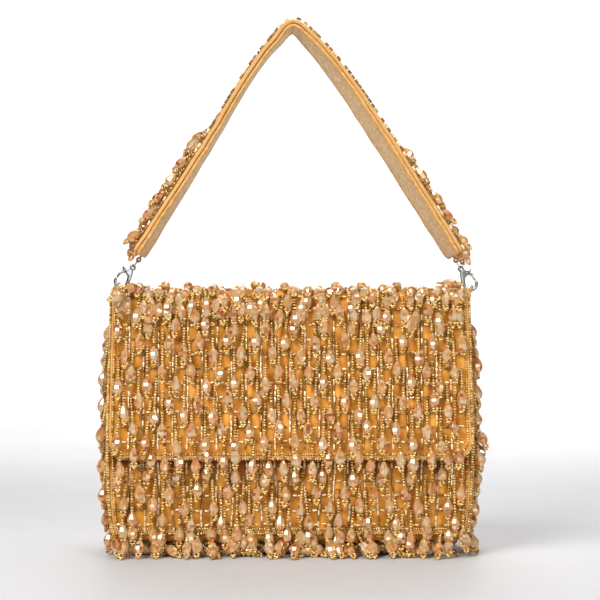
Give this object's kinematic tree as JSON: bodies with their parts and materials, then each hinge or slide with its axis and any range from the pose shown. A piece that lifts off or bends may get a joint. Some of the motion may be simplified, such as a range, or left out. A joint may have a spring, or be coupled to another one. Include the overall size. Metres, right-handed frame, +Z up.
{
  "type": "beaded flap bag",
  "caption": "Small soft box bag in golden cloth with a fold-over flap, a fringe of cut glass drops all over, and a cloth strap on lobster clasps.",
  "frame": {"origin": "on the ground, under the middle of the whole form", "axes": "+X to the right of the front, +Y to the back, +Z up through the strap"},
  "size_m": [0.233, 0.084, 0.3273],
  "materials": {
    "cloth": "golden satin, soft sheen",
    "lining": "plain beige-gold cloth, matt",
    "glass_drops": "champagne cut glass, bright",
    "nickel": "polished nickel plate",
    "cord": "twisted cord"
  },
  "bodies": {
    "bag": {"front_panel": "cloth", "back_panel": "cloth", "gusset_left": "cloth", "gusset_right": "cloth", "base_panel": "cloth", "flap": "cloth", "flap_fringe": "glass_drops", "front_fringe": "glass_drops", "gusset_fringe_left": "glass_drops", "gusset_fringe_right": "glass_drops", "base_fringe": "glass_drops", "strap_face": "cloth", "strap_lining": "lining", "strap_fringe_left": "glass_drops", "strap_fringe_right": "glass_drops", "strap_ring_left": "nickel", "strap_ring_right": "nickel", "clasp_left": "nickel", "clasp_right": "nickel", "side_loop_left": "cord", "side_loop_right": "cord"},
    "lever_left": {"clasp_lever_left": "nickel"},
    "lever_right": {"clasp_lever_right": "nickel"}
  },
  "joints": [
    {"name": "lever_left_hinge", "type": "hinge", "parent": "bag", "child": "lever_left", "pos_m": [-0.10085, 0.00215, 0.17289], "axis": [0, -1, 0], "range_deg": [0, 24], "stiffness_Nm_per_rad": 0.004, "springref_deg": -5.73},
    {"name": "lever_right_hinge", "type": "hinge", "parent": "bag", "child": "lever_right", "pos_m": [0.10857, 0.00215, 0.17168], "axis": [0, 1, 0], "range_deg": [0, 24], "stiffness_Nm_per_rad": 0.004, "springref_deg": -5.73}
  ]
}
